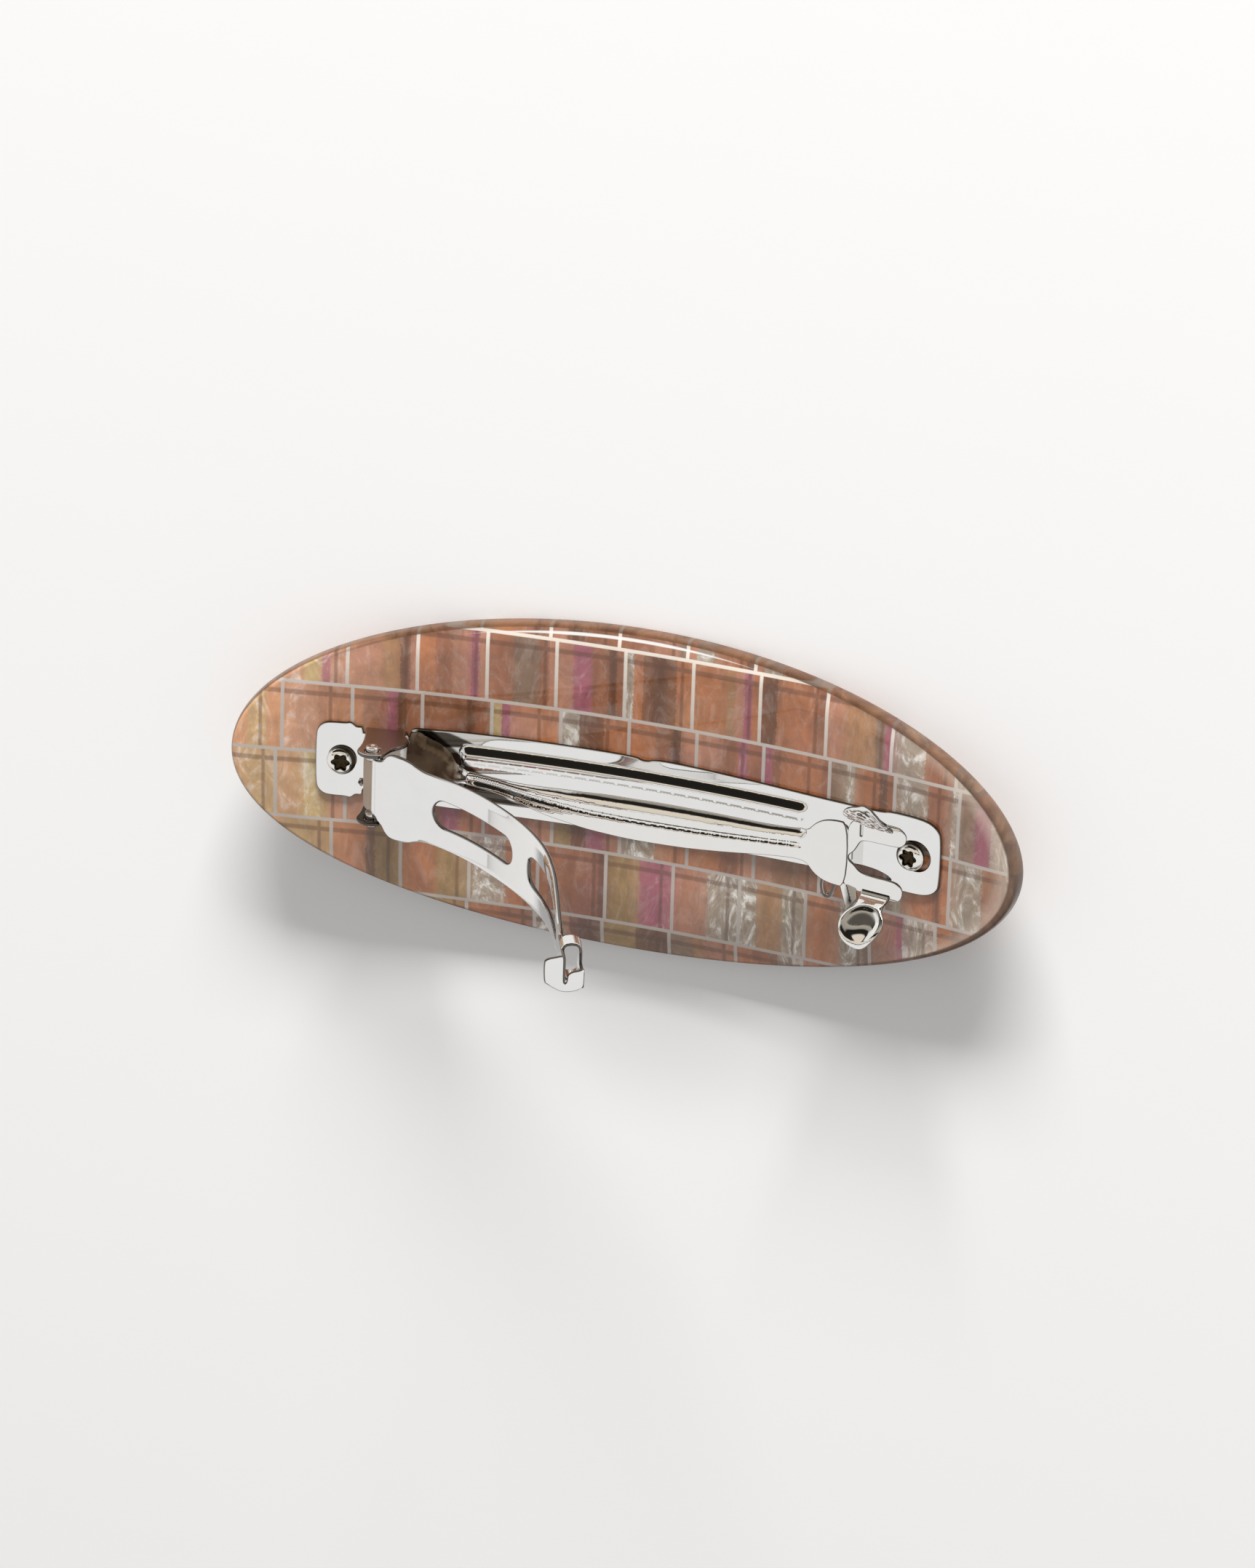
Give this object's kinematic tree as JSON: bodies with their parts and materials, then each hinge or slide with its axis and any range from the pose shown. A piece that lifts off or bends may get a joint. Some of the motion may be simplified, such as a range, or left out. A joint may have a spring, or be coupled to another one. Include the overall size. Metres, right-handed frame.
{
  "type": "hair barrette",
  "caption": "Oval hair barrette of curved, tile-patterned acetate with a plated spring clip on its back: a hinged clasp arm, a bowed tension strip and a pinch latch.",
  "frame": {"origin": "under the middle of the plate, on the level of the lowest point of its curved front", "axes": "+X along the oval towards the latch, +Y across the oval, +Z out of the plate's back through the clip"},
  "size_m": [0.1004, 0.0418, 0.0526],
  "materials": {
    "acetate": "polished cellulose acetate in rust, tan, mauve and pearl tiles with pale joints",
    "plated_steel": "bright nickel plate",
    "spring_steel": "bright nickel plate over thin spring strip",
    "screw_steel": "bright nickel plate, darker in the star recess"
  },
  "bodies": {
    "barrette": {"acetate_plate": "acetate", "clip_base": "plated_steel", "tension_bow": "spring_steel", "spring_latch": "spring_steel", "screw_left": "screw_steel", "screw_right": "screw_steel"},
    "arm": {"clasp_arm": "plated_steel"}
  },
  "joints": [
    {"name": "arm_hinge", "type": "hinge", "parent": "barrette", "child": "arm", "pos_m": [-0.03, 0, 0.012], "axis": [0, -1, 0], "range_deg": [-45.5, 22], "deforming": ["tension_bow"]}
  ]
}
